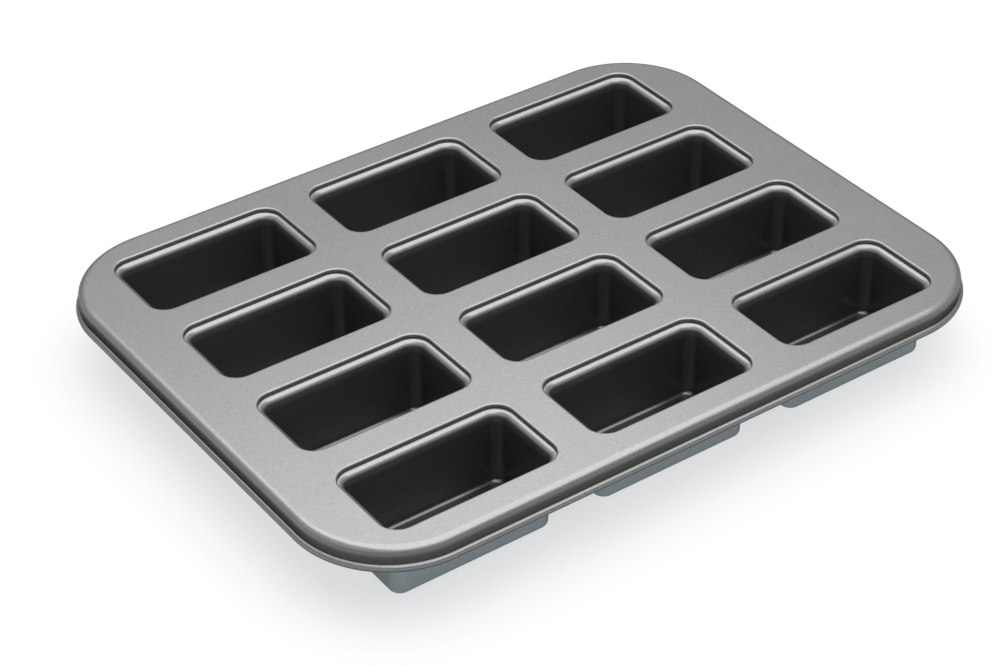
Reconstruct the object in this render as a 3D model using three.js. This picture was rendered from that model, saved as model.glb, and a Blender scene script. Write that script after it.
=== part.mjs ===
// A mini loaf pan: twelve drawn cups locked into a flat sheet frame with a wired rim.
// Millimetres, +Z up, +X along the cups. The cups stand on z = 0 and the pan is centred on X and Y.

import * as THREE from 'three';

// Layout of the cups
const COLUMNS = 3;
const ROWS = 4;
const BAR_BETWEEN_COLUMNS = 17.6;
const BAR_BETWEEN_ROWS = 15.3;
const END_MARGIN = 24.9;
const SIDE_MARGIN = 15.05;

// One cup, measured inside: its length and width are those of the wall just under the lip
const CUP_LENGTH = 77.6;
const CUP_WIDTH = 38.7;
const CUP_CORNER = 5.8;
const CUP_DEPTH = 35.2;
const CUP_SHEET = 0.5;
const WALL_DRAFT = 0.75;
const FLOOR_RADIUS = 2.2;
const LIP_BEND = 2.4;
const LIP_LEDGE = 0.1;

// The frame: radii are those inside each bend of the sheet
const FRAME_SHEET = 0.5;
const PLATE_CORNER = 44.5;
const FOLD_BEND = 2.9;
const MOUTH_BEND = 0.3;
const HEM_REACH = 2.5;

// The seam between a cup and the frame
const SEAM_CLEARANCE = 0.15;

// The rim: the skirt flares outward and rolls down and under, round a wire
const RIM_DROP = 9.3;
const FLARE_BEND = 0.25;
const WIRE_OFFSET = -0.3;
const WIRE_DIAMETER = 2.3;
const WIRE_CLEARANCE = 0.1;
const CURL_TURN = 290;

// Fineness of the round stretches
const CUP_CORNER_STEPS = 3;
const PLATE_CORNER_STEPS = 8;
const BEND_STEPS = 2;
const CURL_STEPS = 8;
const WIRE_SIDES = 8;
const LEAST_CORNER = 0.2;

// Heights of the seam's layers, from the table up: cup flange, frame hem, cup hook, plate
const FLOOR = CUP_SHEET;
const LIP = FLOOR + CUP_DEPTH;
const HEM_BOTTOM = LIP + SEAM_CLEARANCE;
const HEM_TOP = HEM_BOTTOM + FRAME_SHEET;
const HOOK_BOTTOM = HEM_TOP + SEAM_CLEARANCE;
const HOOK_TOP = HOOK_BOTTOM + CUP_SHEET;
const PLATE_UNDER = HOOK_TOP + SEAM_CLEARANCE;
const PLATE_TOP = PLATE_UNDER + FRAME_SHEET;
const WIRE_LEVEL = PLATE_TOP - RIM_DROP;

// Offsets outward from the cup's inner wall
const LIP_RADIUS = LIP_BEND + CUP_SHEET;
const MOUTH = LIP_RADIUS + LIP_LEDGE;
const MOUTH_RADIUS = MOUTH_BEND + FRAME_SHEET;
const COLLAR_BACK = MOUTH + FRAME_SHEET;
const HEM_END = COLLAR_BACK + HEM_REACH;
const HOOK_TIP = MOUTH + MOUTH_RADIUS + SEAM_CLEARANCE;
const HOOK_FACE = HEM_END + SEAM_CLEARANCE;
const HOOK_BACK = HOOK_FACE + CUP_SHEET;

// Offsets outward from the skirt's outer face
const FOLD_RADIUS = FOLD_BEND + FRAME_SHEET;
const WIRE_RADIUS = WIRE_DIAMETER / 2;
const CURL_BEND = WIRE_RADIUS + WIRE_CLEARANCE;
const CURL_RADIUS = CURL_BEND + FRAME_SHEET;

// The flare leans outward as far as the bead, which it touches near its top
const FLARE_REACH = FLARE_BEND + CURL_RADIUS;
const FLARE_LEAN = Math.asin((FLARE_BEND - WIRE_OFFSET) / FLARE_REACH);
const FLARE_LEVEL = WIRE_LEVEL + FLARE_REACH * Math.cos(FLARE_LEAN);

// Outlines in plan
const PITCH_X = CUP_LENGTH + 2 * MOUTH + BAR_BETWEEN_COLUMNS;
const PITCH_Y = CUP_WIDTH + 2 * MOUTH + BAR_BETWEEN_ROWS;
const CUP_PLAN = { length: CUP_LENGTH, width: CUP_WIDTH, corner: CUP_CORNER, steps: CUP_CORNER_STEPS };
const PLATE_PLAN = {
  length: (COLUMNS - 1) * PITCH_X + CUP_LENGTH + 2 * (MOUTH + END_MARGIN),
  width: (ROWS - 1) * PITCH_Y + CUP_WIDTH + 2 * (MOUTH + SIDE_MARGIN),
  corner: PLATE_CORNER,
  steps: PLATE_CORNER_STEPS,
};

const COATED_STEEL = { color: 0x5b5c5f, roughness: 0.42, metalness: 0.75 };
const BRIGHT_WIRE = { color: 0xa9abad, roughness: 0.35, metalness: 0.9 };

// Points of an arc in a section, from one angle to another in degrees
function arc(offset, height, radius, from, to, steps) {
  const points = [];
  for (let step = 0; step <= steps; step += 1) {
    const angle = THREE.MathUtils.degToRad(from + ((to - from) * step) / steps);
    points.push([offset + radius * Math.cos(angle), height + radius * Math.sin(angle)]);
  }
  return points;
}

// Rounded rectangle round a centre, moved outward by an offset, counter-clockwise from its right side
function roundedOutline(plan, offset, centre) {
  const corner = Math.max(plan.corner + offset, LEAST_CORNER);
  const reachX = plan.length / 2 + offset - corner;
  const reachY = plan.width / 2 + offset - corner;
  const points = [];
  for (let quarter = 0; quarter < 4; quarter += 1) {
    const sideX = quarter === 0 || quarter === 3 ? 1 : -1;
    const sideY = quarter < 2 ? 1 : -1;
    for (let step = 0; step <= plan.steps; step += 1) {
      const angle = (quarter + step / plan.steps) * (Math.PI / 2);
      const x = centre.x + sideX * reachX + corner * Math.cos(angle);
      const y = centre.y + sideY * reachY + corner * Math.sin(angle);
      points.push(new THREE.Vector2(x, y));
    }
  }
  return points;
}

// A closed surface that is put together ring by ring
class Shell {
  constructor() {
    this.positions = [];
    this.triangles = [];
  }

  addRing(outline, height) {
    const first = this.positions.length / 3;
    outline.forEach((point) => this.positions.push(point.x, point.y, height));
    return { outline, indices: outline.map((_, index) => first + index) };
  }

  bridge(from, to) {
    const count = from.indices.length;
    for (let index = 0; index < count; index += 1) {
      const next = (index + 1) % count;
      this.triangles.push(from.indices[index], to.indices[index], to.indices[next]);
      this.triangles.push(from.indices[index], to.indices[next], from.indices[next]);
    }
  }

  // Carries a section of [offset, height] points round an outline and gives back its rings
  sweep(plan, section, centre) {
    const rings = section.map(([offset, height]) => this.addRing(roundedOutline(plan, offset, centre), height));
    for (let index = 1; index < rings.length; index += 1) {
      this.bridge(rings[index - 1], rings[index]);
    }
    return rings;
  }

  // Fills a ring, less its holes, with a flat face that looks up or down
  fill(ring, holes, looksUp) {
    const lookup = [ring, ...holes].flatMap((edge) => edge.indices);
    const faces = THREE.ShapeUtils.triangulateShape(ring.outline, holes.map((hole) => hole.outline));
    for (const [a, b, c] of faces) {
      const corners = looksUp ? [a, b, c] : [a, c, b];
      this.triangles.push(...corners.map((corner) => lookup[corner]));
    }
  }

  toMesh(name, finish) {
    const geometry = new THREE.BufferGeometry();
    geometry.setAttribute('position', new THREE.Float32BufferAttribute(this.positions, 3));
    geometry.setIndex(this.triangles);
    geometry.computeVertexNormals();
    const mesh = new THREE.Mesh(geometry, new THREE.MeshStandardMaterial(finish));
    mesh.name = name;
    return mesh;
  }
}

// Section of a cup, from its floor up the inside, over the lip, round the seam and down the outside
function cupSection() {
  const foot = -WALL_DRAFT - FLOOR_RADIUS;
  const floorCentre = FLOOR + FLOOR_RADIUS;
  const lipCentre = LIP - LIP_RADIUS;
  const flangeUnder = LIP - CUP_SHEET;
  return [
    ...arc(foot, floorCentre, FLOOR_RADIUS, -90, 0, BEND_STEPS),
    ...arc(LIP_RADIUS, lipCentre, LIP_RADIUS, 180, 90, BEND_STEPS),
    [HOOK_FACE, LIP],
    [HOOK_FACE, HOOK_BOTTOM],
    [HOOK_TIP, HOOK_BOTTOM],
    [HOOK_TIP, HOOK_TOP],
    ...arc(HOOK_FACE, HOOK_BOTTOM, CUP_SHEET, 90, 0, BEND_STEPS),
    ...arc(HOOK_FACE, LIP, CUP_SHEET, 0, -90, BEND_STEPS),
    ...arc(LIP_RADIUS, lipCentre, LIP_BEND, 90, 180, BEND_STEPS),
    ...arc(foot, floorCentre, FLOOR_RADIUS + CUP_SHEET, 0, -90, BEND_STEPS),
  ];
}

// Section of the frame round a mouth: under the plate, down the collar, round the hem and up again
function mouthSection() {
  const foldOffset = MOUTH + MOUTH_RADIUS;
  const foldHeight = PLATE_TOP - MOUTH_RADIUS;
  return [
    ...arc(foldOffset, foldHeight, MOUTH_BEND, 90, 180, BEND_STEPS),
    [COLLAR_BACK, HEM_TOP],
    [HEM_END, HEM_TOP],
    [HEM_END, HEM_BOTTOM],
    ...arc(COLLAR_BACK, HEM_TOP, FRAME_SHEET, -90, -180, BEND_STEPS),
    ...arc(foldOffset, foldHeight, MOUTH_RADIUS, 180, 90, BEND_STEPS),
  ];
}

// Section of the frame's edge: over the fold, down the skirt, out round the wire and back up inside
function skirtSection() {
  const foldHeight = PLATE_TOP - FOLD_RADIUS;
  const touch = 90 - THREE.MathUtils.radToDeg(FLARE_LEAN);
  const curlEnd = touch - CURL_TURN;
  return [
    ...arc(-FOLD_RADIUS, foldHeight, FOLD_RADIUS, 90, 0, BEND_STEPS),
    ...arc(FLARE_BEND, FLARE_LEVEL, FLARE_BEND, 180, 180 + touch, BEND_STEPS),
    ...arc(WIRE_OFFSET, WIRE_LEVEL, CURL_RADIUS, touch, curlEnd, CURL_STEPS).slice(1),
    ...arc(WIRE_OFFSET, WIRE_LEVEL, CURL_BEND, curlEnd, touch, CURL_STEPS),
    ...arc(FLARE_BEND, FLARE_LEVEL, FLARE_BEND + FRAME_SHEET, 180 + touch, 180, BEND_STEPS).slice(1),
    ...arc(-FOLD_RADIUS, foldHeight, FOLD_BEND, 0, 90, BEND_STEPS),
  ];
}

// Centre of every cup in plan, with a letter for its column and a number for its row
function cupPlaces() {
  const places = [];
  for (let column = 0; column < COLUMNS; column += 1) {
    for (let row = 0; row < ROWS; row += 1) {
      const x = (column - (COLUMNS - 1) / 2) * PITCH_X;
      const y = (row - (ROWS - 1) / 2) * PITCH_Y;
      const label = `${String.fromCharCode('a'.charCodeAt(0) + column)}${row + 1}`;
      places.push({ label, centre: new THREE.Vector2(x, y) });
    }
  }
  return places;
}

const MIDDLE = new THREE.Vector2(0, 0);

function makeCup(place) {
  const shell = new Shell();
  const rings = shell.sweep(CUP_PLAN, cupSection(), MIDDLE);
  shell.fill(rings[0], [], true);
  shell.fill(rings[rings.length - 1], [], false);
  const cup = shell.toMesh(`cup_${place.label}`, COATED_STEEL);
  cup.position.set(place.centre.x, place.centre.y, 0);
  return cup;
}

function makeTopFrame(places) {
  const shell = new Shell();
  const edge = shell.sweep(PLATE_PLAN, skirtSection(), MIDDLE);
  const mouths = places.map((place) => shell.sweep(CUP_PLAN, mouthSection(), place.centre));
  shell.fill(edge[0], mouths.map((rings) => rings[rings.length - 1]), true);
  shell.fill(edge[edge.length - 1], mouths.map((rings) => rings[0]), false);
  return shell.toMesh('top_frame', COATED_STEEL);
}

function makeRimWire() {
  const shell = new Shell();
  const section = arc(WIRE_OFFSET, WIRE_LEVEL, WIRE_RADIUS, 360, 360 / WIRE_SIDES, WIRE_SIDES - 1);
  const rings = shell.sweep(PLATE_PLAN, section, MIDDLE);
  shell.bridge(rings[rings.length - 1], rings[0]);
  return shell.toMesh('rim_wire', BRIGHT_WIRE);
}

const pan = new THREE.Group();
const places = cupPlaces();
pan.add(makeTopFrame(places), makeRimWire(), ...places.map(makeCup));

export default pan;
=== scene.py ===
# A mini loaf pan: smooth sheet-metal pieces in a satin non-stick coat, with soft light on a pale floor.
# Metres, +Z up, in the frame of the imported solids.

import math

import bmesh
import bpy
from mathutils import Euler, Matrix, Vector


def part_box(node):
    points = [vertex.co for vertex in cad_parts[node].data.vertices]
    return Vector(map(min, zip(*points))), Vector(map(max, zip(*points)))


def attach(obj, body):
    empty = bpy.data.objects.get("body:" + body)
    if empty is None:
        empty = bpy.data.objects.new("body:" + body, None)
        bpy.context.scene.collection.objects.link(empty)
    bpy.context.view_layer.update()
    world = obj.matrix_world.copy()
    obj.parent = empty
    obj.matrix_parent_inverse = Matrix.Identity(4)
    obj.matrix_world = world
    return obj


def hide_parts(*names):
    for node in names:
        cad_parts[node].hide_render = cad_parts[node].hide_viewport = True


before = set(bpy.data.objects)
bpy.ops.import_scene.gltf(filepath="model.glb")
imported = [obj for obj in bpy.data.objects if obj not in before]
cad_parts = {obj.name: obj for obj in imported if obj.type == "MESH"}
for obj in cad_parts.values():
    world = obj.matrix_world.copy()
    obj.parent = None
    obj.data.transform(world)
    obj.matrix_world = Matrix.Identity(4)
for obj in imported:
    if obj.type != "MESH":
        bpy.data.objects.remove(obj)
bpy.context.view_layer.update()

MM = 0.001

# Sheet thicknesses and the clearance between folded layers
CUP_SHEET = 0.5 * MM
FRAME_SHEET = 0.5 * MM
SEAM_CLEARANCE = 0.15 * MM

# One cup, measured inside
CUP_CORNER = 5.8 * MM
WALL_DRAFT = 0.75 * MM
FLOOR_RADIUS = 2.2 * MM
LIP_RADIUS = 2.9 * MM
LIP_LEDGE = 0.1 * MM

# The frame's bends, on the face that shows
PLATE_CORNER = 44.5 * MM
FOLD_RADIUS = 3.4 * MM
MOUTH_RADIUS = 0.8 * MM
HEM_REACH = 2.5 * MM
HEM_RADIUS = 0.65 * MM

# The rim: the skirt flares outward and rolls down and under, round a wire
RIM_DROP = 9.3 * MM
FLARE_BEND = 0.25 * MM
WIRE_OFFSET = -0.3 * MM
WIRE_RADIUS = 1.15 * MM
WIRE_CLEARANCE = 0.1 * MM
CURL_TURN = 290

# Short flat bands beside each bend keep the shading of the flats even
FLAT_BAND = 0.4 * MM

# Fineness of the bends
CUP_CORNER_STEPS = 16
PLATE_CORNER_STEPS = 36
BEND_STEPS = 10
TIGHT_BEND_STEPS = 6
CURL_STEPS = 28
WIRE_SIDES = 16
CLOSE = 0.001 * MM

# Heights and places that the solids give
CUPS = sorted(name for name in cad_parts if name.startswith("cup_"))
PLATE_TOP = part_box("top_frame")[1].z
CUP_LOW, CUP_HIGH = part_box(CUPS[0])
RIM_LOW, RIM_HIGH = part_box("top_frame")

# Heights of the seam's layers, from the plate down
HOOK_UNDER = PLATE_TOP - FRAME_SHEET - SEAM_CLEARANCE - CUP_SHEET
HEM_TOP = HOOK_UNDER - SEAM_CLEARANCE
LIP = HEM_TOP - FRAME_SHEET - SEAM_CLEARANCE
FLOOR = CUP_LOW.z + CUP_SHEET
WIRE_LEVEL = PLATE_TOP - RIM_DROP

# Offsets outward from the cup's inner wall
MOUTH = LIP_RADIUS + LIP_LEDGE
COLLAR_BACK = MOUTH + FRAME_SHEET
HEM_END = COLLAR_BACK + HEM_REACH
HOOK_TIP = MOUTH + MOUTH_RADIUS + SEAM_CLEARANCE
HOOK_BACK = HEM_END + SEAM_CLEARANCE + CUP_SHEET
HOOK_RADIUS = (HOOK_UNDER - LIP) / 2

# The bead's outer radius, and where the flare touches it near its top
CURL_RADIUS = WIRE_RADIUS + WIRE_CLEARANCE + FRAME_SHEET
CURL_REACH = WIRE_OFFSET + CURL_RADIUS
FLARE_REACH = FLARE_BEND + CURL_RADIUS
FLARE_LEAN = math.asin((FLARE_BEND - WIRE_OFFSET) / FLARE_REACH)
FLARE_LEVEL = WIRE_LEVEL + FLARE_REACH * math.cos(FLARE_LEAN)

# Half sizes in plan of the cup's inner wall and of the skirt's outer face
CUP_HALF = ((CUP_HIGH.x - CUP_LOW.x) / 2 - HOOK_BACK, (CUP_HIGH.y - CUP_LOW.y) / 2 - HOOK_BACK)
SKIRT_HALF = (RIM_HIGH.x - CURL_REACH, RIM_HIGH.y - CURL_REACH)

# The coats: darkest and palest flake of each, and roughness
COAT_DARK = (0.24, 0.24, 0.24)
COAT_PALE = (0.38, 0.38, 0.38)
COAT_ROUGHNESS = 0.28
# The back coat, on the outsides and undersides, is its own coat; its blue tint is a painted reflection of
# cool light from below
BACK_DARK = (0.2, 0.23, 0.24)
BACK_PALE = (0.28, 0.32, 0.33)
BACK_ROUGHNESS = 0.32
STEEL_DARK = (0.5, 0.5, 0.5)
STEEL_PALE = (0.6, 0.6, 0.6)
STEEL_ROUGHNESS = 0.3

# What all the coats share: how metallic they are, their tint at grazing angles, and their grain
METAL_SHARE = 0.85
GRAZING_TINT = (0.35, 0.35, 0.35)
FLAKE_SCALE = 1500
FLAKE_DETAIL = 2
HAZE_SCALE = 45
HAZE_DETAIL = 3
HAZE_SPREAD = 0.03
PEBBLE_SCALE = 900
PEBBLE_DETAIL = 1
PEBBLE_STRENGTH = 0.12
PEBBLE_HEIGHT = 0.1 * MM

# Painted shade by height: the share of a coat's brightness kept at a height, from low to high
FOLD_END = PLATE_TOP - FOLD_RADIUS
# On the frame, painted shade darkens the skirt below the fold, most in the crease above the bead and under
# the bead
FRAME_SHADE_STOPS = [
    (WIRE_LEVEL - CURL_RADIUS * 0.6, 0.15),
    (WIRE_LEVEL + CURL_RADIUS / 2, 0.85),
    (WIRE_LEVEL + 0.9 * CURL_RADIUS, 0.85),
    (FLARE_LEVEL, 0.16),
    (FOLD_END - 1 * MM, 0.2),
    (FOLD_END, 0.32),
    (FOLD_END + FOLD_RADIUS / 4, 0.48),
    (FOLD_END + FOLD_RADIUS * 0.6, 1),
]
# In the cups, painted shade darkens the walls and floor below the lip
CUP_SHADE_STOPS = [
    (LIP - 2 * LIP_RADIUS, 0.48),
    (LIP - LIP_RADIUS, 1),
]

# The camera: its place, turn and lens
CAMERA_PLACE = (-0.5565, -0.7697, 0.6992)
CAMERA_TURN = (53.852, 0.424, -35.619)
CAMERA_LENS = 95.26
SENSOR_WIDTH = 36.0

# The studio: a panel overhead that adds to the glow of the room, which is dimmer towards the horizon
PANEL_PLACE = (0.256, 0.047, 1.6)
PANEL_SIZE = (2.19, 3.29)
PANEL_GLOW = 1.3
ROOM_LOW_GLOW = 0.31
ROOM_HIGH_GLOW = 0.73
ROOM_HIGH = 0.6

# The floor: half its width, its own colour, the white it shows to the eye, and its gap below the bases
FLOOR_REACH = 8
FLOOR_COLOUR = (0.82, 0.83, 0.84)
FLOOR_ROUGHNESS = 0.9
WHITE_COLOUR = (0.97, 0.99, 1)
FLOOR_WHITE = 0.65
FLOOR_GAP = 0.05 * MM

UPRIGHT = Vector((0, 0, 1))
ACROSS = Vector((0, 1, 0))


# Drawing a sheet's section and carrying it round an outline

class Section:
    """The face of a sheet in section, drawn in the XZ plane at the middle of the right-hand side."""

    def __init__(self, base, offset, height):
        self.bm = bmesh.new()
        self.base = base
        self.tip = bmesh.ops.create_vert(self.bm, co=self.place(offset, height))["vert"][0]

    def place(self, offset, height):
        return Vector((self.base + offset, 0, height))

    def step_to(self, point):
        grown = bmesh.ops.extrude_vert_indiv(self.bm, verts=[self.tip])
        self.tip = grown["verts"][0]
        bmesh.ops.translate(self.bm, verts=[self.tip], vec=point - self.tip.co)

    def line_to(self, offset, height):
        """A straight run with a short band at each end, where it is long enough to have them."""
        start, end = self.tip.co.copy(), self.place(offset, height)
        run = end - start
        if run.length > 3 * FLAT_BAND:
            band = run.normalized() * FLAT_BAND
            self.step_to(start + band)
            self.step_to(end - band)
        self.step_to(end)

    def bend(self, offset, height, degrees, steps):
        """A round bend about a centre; positive degrees turn from +Z towards +X."""
        turned = bmesh.ops.spin(self.bm, geom=[self.tip], cent=self.place(offset, height), axis=ACROSS,
                                angle=math.radians(degrees), steps=steps)
        self.tip = next(item for item in turned["geom_last"] if isinstance(item, bmesh.types.BMVert))


def carry_round(bm, half_size, corner, steps):
    """Carries the section in bm round a rounded rectangle and closes the ring."""
    reach_x = half_size[0] - corner
    reach_y = half_size[1] - corner
    runs = [
        (Vector((0, reach_y, 0)), Vector((reach_x, reach_y, 0))),
        (Vector((-2 * reach_x, 0, 0)), Vector((-reach_x, reach_y, 0))),
        (Vector((0, -2 * reach_y, 0)), Vector((-reach_x, -reach_y, 0))),
        (Vector((2 * reach_x, 0, 0)), Vector((reach_x, -reach_y, 0))),
    ]
    moving = bm.verts[:] + bm.edges[:]
    for run, centre in runs:
        moving = bmesh.ops.spin(bm, geom=moving, dvec=run, steps=1)["geom_last"]
        moving = bmesh.ops.spin(bm, geom=moving, cent=centre, axis=UPRIGHT, angle=math.pi / 2,
                                steps=steps)["geom_last"]
    bmesh.ops.spin(bm, geom=moving, dvec=Vector((0, reach_y, 0)), steps=1)
    bmesh.ops.remove_doubles(bm, verts=bm.verts, dist=CLOSE)


def open_edges_at(bm, height):
    return [edge for edge in bm.edges
            if edge.is_boundary and all(abs(vert.co.z - height) < CLOSE for vert in edge.verts)]


def face_upwards(bm, height):
    """Turns the whole sheet so that its flat faces at a height look up."""
    bmesh.ops.recalc_face_normals(bm, faces=bm.faces)
    flat = [face for face in bm.faces if all(abs(vert.co.z - height) < CLOSE for vert in face.verts)]
    if sum(face.normal.z * face.calc_area() for face in flat) < 0:
        bmesh.ops.reverse_faces(bm, faces=bm.faces)


def finish_piece(bm, name, materials, thickness=None):
    """Makes bm an object that rides on the pan, with the sheet's thickness behind its drawn face."""
    for face in bm.faces:
        face.smooth = True
    mesh = bpy.data.meshes.new(name)
    bm.to_mesh(mesh)
    piece = bpy.data.objects.new(name, mesh)
    bpy.context.scene.collection.objects.link(piece)
    for material in materials:
        mesh.materials.append(material)
    if thickness:
        sheet = piece.modifiers.new("sheet", "SOLIDIFY")
        sheet.thickness = thickness
        sheet.offset = -1
        sheet.use_even_offset = True
        sheet.use_quality_normals = True
        sheet.material_offset = 1
        sheet.material_offset_rim = 1
    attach(piece, "root")
    return piece


# Finishes

def add_painted_shade(material, place, tint, shade_stops):
    """Paints shade on a coat by height: each stop is a height and the share of brightness kept there."""
    nodes = material.node_tree.nodes
    links = material.node_tree.links
    low = shade_stops[0][0]
    reach = shade_stops[-1][0] - low
    split = nodes.new("ShaderNodeSeparateXYZ")
    links.new(place.outputs["Object"], split.inputs["Vector"])
    rise = nodes.new("ShaderNodeMapRange")
    rise.inputs["From Min"].default_value = low
    rise.inputs["From Max"].default_value = shade_stops[-1][0]
    links.new(split.outputs["Z"], rise.inputs["Value"])
    ramp = nodes.new("ShaderNodeValToRGB")
    ends = ramp.color_ramp.elements
    ends[0].color = (shade_stops[0][1], shade_stops[0][1], shade_stops[0][1], 1)
    ends[1].color = (shade_stops[-1][1], shade_stops[-1][1], shade_stops[-1][1], 1)
    for height, share in shade_stops[1:-1]:
        ends.new((height - low) / reach).color = (share, share, share, 1)
    links.new(rise.outputs["Result"], ramp.inputs["Fac"])
    shade_mix = nodes.new("ShaderNodeMix")
    shade_mix.data_type = "RGBA"
    shade_mix.blend_type = "MULTIPLY"
    shade_mix.inputs["Factor"].default_value = 1.0
    links.new(tint.outputs["Result"], shade_mix.inputs["A"])
    links.new(ramp.outputs["Color"], shade_mix.inputs["B"])
    links.new(shade_mix.outputs["Result"], nodes["Principled BSDF"].inputs["Base Color"])


def coat_material(name, dark, pale, roughness, shade_stops=None):
    """Satin metallic coat: fine flakes, slow changes of sheen and a pebbled surface."""
    material = bpy.data.materials.new(name)
    material.use_nodes = True
    nodes = material.node_tree.nodes
    links = material.node_tree.links
    shader = nodes["Principled BSDF"]
    shader.inputs["Metallic"].default_value = METAL_SHARE
    shader.inputs["Specular Tint"].default_value = (*GRAZING_TINT, 1)
    place = nodes.new("ShaderNodeTexCoord")

    flakes = nodes.new("ShaderNodeTexNoise")
    flakes.inputs["Scale"].default_value = FLAKE_SCALE
    flakes.inputs["Detail"].default_value = FLAKE_DETAIL
    links.new(place.outputs["Object"], flakes.inputs["Vector"])
    tint = nodes.new("ShaderNodeMix")
    tint.data_type = "RGBA"
    tint.inputs["A"].default_value = (*dark, 1)
    tint.inputs["B"].default_value = (*pale, 1)
    links.new(flakes.outputs["Fac"], tint.inputs["Factor"])
    links.new(tint.outputs["Result"], shader.inputs["Base Color"])
    # With shade stops, painted shade darkens the coat by height
    if shade_stops:
        add_painted_shade(material, place, tint, shade_stops)

    haze = nodes.new("ShaderNodeTexNoise")
    haze.inputs["Scale"].default_value = HAZE_SCALE
    haze.inputs["Detail"].default_value = HAZE_DETAIL
    links.new(place.outputs["Object"], haze.inputs["Vector"])
    sheen = nodes.new("ShaderNodeMapRange")
    sheen.inputs["To Min"].default_value = roughness - HAZE_SPREAD
    sheen.inputs["To Max"].default_value = roughness + HAZE_SPREAD
    links.new(haze.outputs["Fac"], sheen.inputs["Value"])
    links.new(sheen.outputs["Result"], shader.inputs["Roughness"])

    pebble = nodes.new("ShaderNodeTexNoise")
    pebble.inputs["Scale"].default_value = PEBBLE_SCALE
    pebble.inputs["Detail"].default_value = PEBBLE_DETAIL
    links.new(place.outputs["Object"], pebble.inputs["Vector"])
    bump = nodes.new("ShaderNodeBump")
    bump.inputs["Strength"].default_value = PEBBLE_STRENGTH
    bump.inputs["Distance"].default_value = PEBBLE_HEIGHT
    links.new(pebble.outputs["Fac"], bump.inputs["Height"])
    links.new(bump.outputs["Normal"], shader.inputs["Normal"])
    return material


# Pieces

def make_cup_sheet():
    """One cup about the middle: floor, wall, rounded lip, and the flange folded over the frame's hem."""
    section = Section(CUP_HALF[0], -WALL_DRAFT - FLOOR_RADIUS - FLAT_BAND, FLOOR)
    section.step_to(section.place(-WALL_DRAFT - FLOOR_RADIUS, FLOOR))
    section.bend(-WALL_DRAFT - FLOOR_RADIUS, FLOOR + FLOOR_RADIUS, -90, BEND_STEPS)
    section.line_to(0, LIP - LIP_RADIUS)
    section.bend(LIP_RADIUS, LIP - LIP_RADIUS, 90, BEND_STEPS)
    section.line_to(HOOK_BACK - CUP_SHEET - HOOK_RADIUS, LIP)
    section.bend(HOOK_BACK - CUP_SHEET - HOOK_RADIUS, LIP + HOOK_RADIUS, -180, BEND_STEPS)
    section.line_to(HOOK_TIP, HOOK_UNDER)
    bm = section.bm
    carry_round(bm, CUP_HALF, CUP_CORNER, CUP_CORNER_STEPS)
    bmesh.ops.contextual_create(bm, geom=open_edges_at(bm, FLOOR))
    face_upwards(bm, FLOOR)
    return bm


def make_mouth_sheet():
    """The frame's edge round one mouth, about the middle: plate, collar and out-turned hem."""
    section = Section(CUP_HALF[0], MOUTH + MOUTH_RADIUS + FLAT_BAND, PLATE_TOP)
    section.step_to(section.place(MOUTH + MOUTH_RADIUS, PLATE_TOP))
    section.bend(MOUTH + MOUTH_RADIUS, PLATE_TOP - MOUTH_RADIUS, -90, TIGHT_BEND_STEPS)
    hem_centre = HEM_TOP - FRAME_SHEET + HEM_RADIUS
    section.line_to(MOUTH, hem_centre)
    section.bend(MOUTH + HEM_RADIUS, hem_centre, -90, TIGHT_BEND_STEPS)
    section.line_to(HEM_END, HEM_TOP - FRAME_SHEET)
    carry_round(section.bm, CUP_HALF, CUP_CORNER, CUP_CORNER_STEPS)
    return section.bm


def make_frame_sheet(centres):
    """The frame: flared skirt with its rolled edge, the mouths, and the flat plate between them."""
    section = Section(SKIRT_HALF[0], -FOLD_RADIUS - FLAT_BAND, PLATE_TOP)
    section.step_to(section.place(-FOLD_RADIUS, PLATE_TOP))
    section.bend(-FOLD_RADIUS, PLATE_TOP - FOLD_RADIUS, 90, BEND_STEPS)
    section.line_to(0, FLARE_LEVEL)
    section.bend(FLARE_BEND, FLARE_LEVEL, math.degrees(FLARE_LEAN) - 90, BEND_STEPS)
    section.bend(WIRE_OFFSET, WIRE_LEVEL, CURL_TURN, CURL_STEPS)
    bm = section.bm
    carry_round(bm, SKIRT_HALF, PLATE_CORNER, PLATE_CORNER_STEPS)

    mouth = make_mouth_sheet()
    mouth_mesh = bpy.data.meshes.new("mouth")
    mouth.to_mesh(mouth_mesh)
    mouth.free()
    for centre in centres:
        known = set(bm.verts)
        bm.from_mesh(mouth_mesh)
        bmesh.ops.translate(bm, verts=[vert for vert in bm.verts if vert not in known], vec=centre)
    bpy.data.meshes.remove(mouth_mesh)

    bmesh.ops.triangle_fill(bm, edges=open_edges_at(bm, PLATE_TOP), use_beauty=True, normal=UPRIGHT)
    face_upwards(bm, PLATE_TOP)
    return bm


def make_wire():
    """The closed wire inside the rolled rim."""
    bm = bmesh.new()
    centre = Matrix.Translation((SKIRT_HALF[0] + WIRE_OFFSET, 0, WIRE_LEVEL))
    upright = Matrix.Rotation(math.pi / 2, 4, "X")
    bmesh.ops.create_circle(bm, segments=WIRE_SIDES, radius=WIRE_RADIUS, matrix=centre @ upright)
    carry_round(bm, SKIRT_HALF, PLATE_CORNER, PLATE_CORNER_STEPS)
    bmesh.ops.recalc_face_normals(bm, faces=bm.faces)
    return bm


def cup_centre(name):
    low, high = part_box(name)
    middle = (low + high) / 2
    return Vector((middle.x, middle.y, 0))


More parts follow.
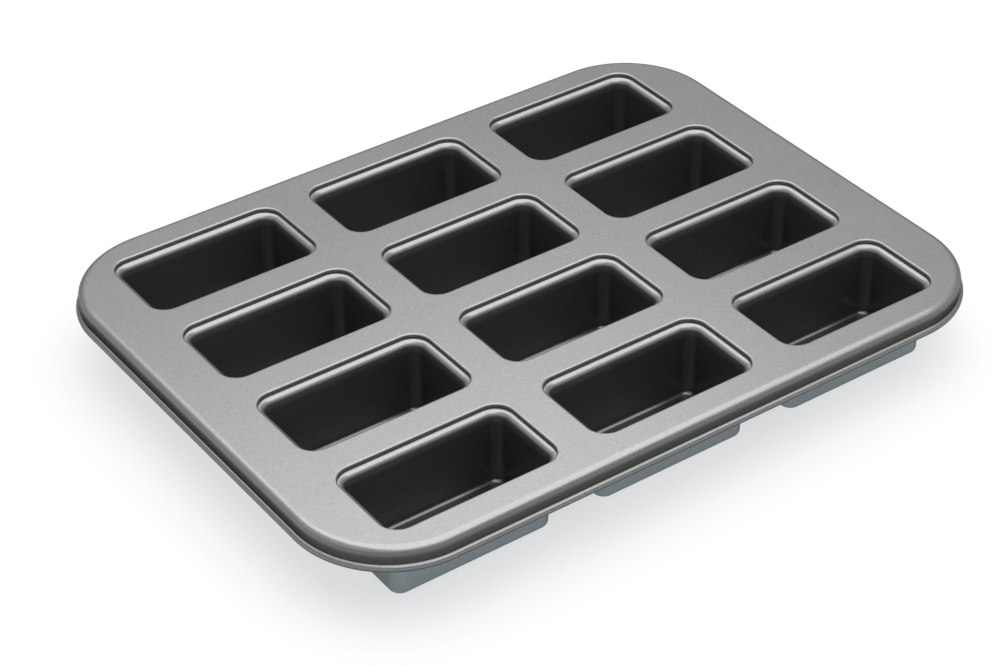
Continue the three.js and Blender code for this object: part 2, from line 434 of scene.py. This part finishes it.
def add_pan():
    """The frame, its rim wire and the cups, each in its coat."""
    frame_coat = coat_material("frame_coat", COAT_DARK, COAT_PALE, COAT_ROUGHNESS, FRAME_SHADE_STOPS)
    cup_coat = coat_material("cup_coat", COAT_DARK, COAT_PALE, COAT_ROUGHNESS, CUP_SHADE_STOPS)
    back_coat = coat_material("back_coat", BACK_DARK, BACK_PALE, BACK_ROUGHNESS)
    wire_steel = coat_material("wire_steel", STEEL_DARK, STEEL_PALE, STEEL_ROUGHNESS)

    centres = [cup_centre(name) for name in CUPS]
    frame_piece = finish_piece(make_frame_sheet(centres), "pan_frame", [frame_coat, back_coat], FRAME_SHEET)
    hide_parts("top_frame")

    wire = finish_piece(make_wire(), "pan_wire", [wire_steel])
    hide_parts("rim_wire")

    for name, centre in zip(CUPS, centres):
        bm = make_cup_sheet()
        bmesh.ops.translate(bm, verts=bm.verts, vec=centre)
        cup = finish_piece(bm, f"pan_{name}", [cup_coat, back_coat], CUP_SHEET)
        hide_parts(name)


# Floor, light and camera

def add_floor():
    """A pale floor that shows the shadow from above and is clear from below, where the bases show."""
    bm = bmesh.new()
    bmesh.ops.create_grid(bm, x_segments=2, y_segments=2, size=FLOOR_REACH)
    bmesh.ops.translate(bm, verts=bm.verts, vec=(0, 0, CUP_LOW.z - FLOOR_GAP))
    mesh = bpy.data.meshes.new("floor")
    bm.to_mesh(mesh)
    floor = bpy.data.objects.new("floor", mesh)
    bpy.context.scene.collection.objects.link(floor)
    material = bpy.data.materials.new("pale_floor")
    material.use_nodes = True
    nodes = material.node_tree.nodes
    links = material.node_tree.links
    matt = nodes["Principled BSDF"]
    matt.inputs["Base Color"].default_value = (*FLOOR_COLOUR, 1)
    matt.inputs["Roughness"].default_value = FLOOR_ROUGHNESS
    matt.inputs["Specular IOR Level"].default_value = 0.0
    white = nodes.new("ShaderNodeEmission")
    white.inputs["Color"].default_value = (*WHITE_COLOUR, 1)
    path = nodes.new("ShaderNodeLightPath")
    seen = nodes.new("ShaderNodeMath")
    seen.operation = "MAXIMUM"
    links.new(path.outputs["Is Camera Ray"], seen.inputs[0])
    links.new(path.outputs["Is Glossy Ray"], seen.inputs[1])
    share = nodes.new("ShaderNodeMath")
    share.operation = "MULTIPLY"
    share.inputs[1].default_value = FLOOR_WHITE
    links.new(seen.outputs["Value"], share.inputs[0])
    blend = nodes.new("ShaderNodeMixShader")
    links.new(share.outputs["Value"], blend.inputs["Fac"])
    links.new(matt.outputs["BSDF"], blend.inputs[1])
    links.new(white.outputs["Emission"], blend.inputs[2])
    side = nodes.new("ShaderNodeNewGeometry")
    clear = nodes.new("ShaderNodeBsdfTransparent")
    one_way = nodes.new("ShaderNodeMixShader")
    links.new(side.outputs["Backfacing"], one_way.inputs["Fac"])
    links.new(blend.outputs["Shader"], one_way.inputs[1])
    links.new(clear.outputs["BSDF"], one_way.inputs[2])
    links.new(one_way.outputs["Shader"], nodes["Material Output"].inputs["Surface"])
    mesh.materials.append(material)


def add_room():
    """The room's own glow, dim at the horizon and brighter above."""
    world = bpy.data.worlds.new("room")
    world.use_nodes = True
    nodes = world.node_tree.nodes
    links = world.node_tree.links
    place = nodes.new("ShaderNodeTexCoord")
    split = nodes.new("ShaderNodeSeparateXYZ")
    links.new(place.outputs["Generated"], split.inputs["Vector"])
    rise = nodes.new("ShaderNodeMapRange")
    rise.inputs["From Max"].default_value = ROOM_HIGH
    rise.inputs["To Min"].default_value = ROOM_LOW_GLOW
    rise.inputs["To Max"].default_value = ROOM_HIGH_GLOW
    links.new(split.outputs["Z"], rise.inputs["Value"])
    nodes["Background"].inputs["Color"].default_value = (1, 1, 1, 1)
    links.new(rise.outputs["Result"], nodes["Background"].inputs["Strength"])
    bpy.context.scene.world = world


def add_panel():
    """A soft light overhead, of even glow: its energy is four times its glow times its area."""
    lamp = bpy.data.lights.new("overhead_panel", "AREA")
    lamp.shape = "RECTANGLE"
    lamp.size, lamp.size_y = PANEL_SIZE
    lamp.energy = PANEL_GLOW * 4 * PANEL_SIZE[0] * PANEL_SIZE[1]
    panel = bpy.data.objects.new("overhead_panel", lamp)
    panel.location = PANEL_PLACE
    bpy.context.scene.collection.objects.link(panel)


def add_camera():
    """The photograph's view."""
    lens = bpy.data.cameras.new("photo_view")
    lens.lens = CAMERA_LENS
    lens.sensor_fit = "HORIZONTAL"
    lens.sensor_width = SENSOR_WIDTH
    camera = bpy.data.objects.new("photo_view", lens)
    camera.location = CAMERA_PLACE
    camera.rotation_euler = Euler([math.radians(turn) for turn in CAMERA_TURN])
    bpy.context.scene.collection.objects.link(camera)
    bpy.context.scene.camera = camera


add_pan()
add_floor()
add_room()
add_panel()
add_camera()
bpy.context.scene.view_settings.view_transform = "Standard"
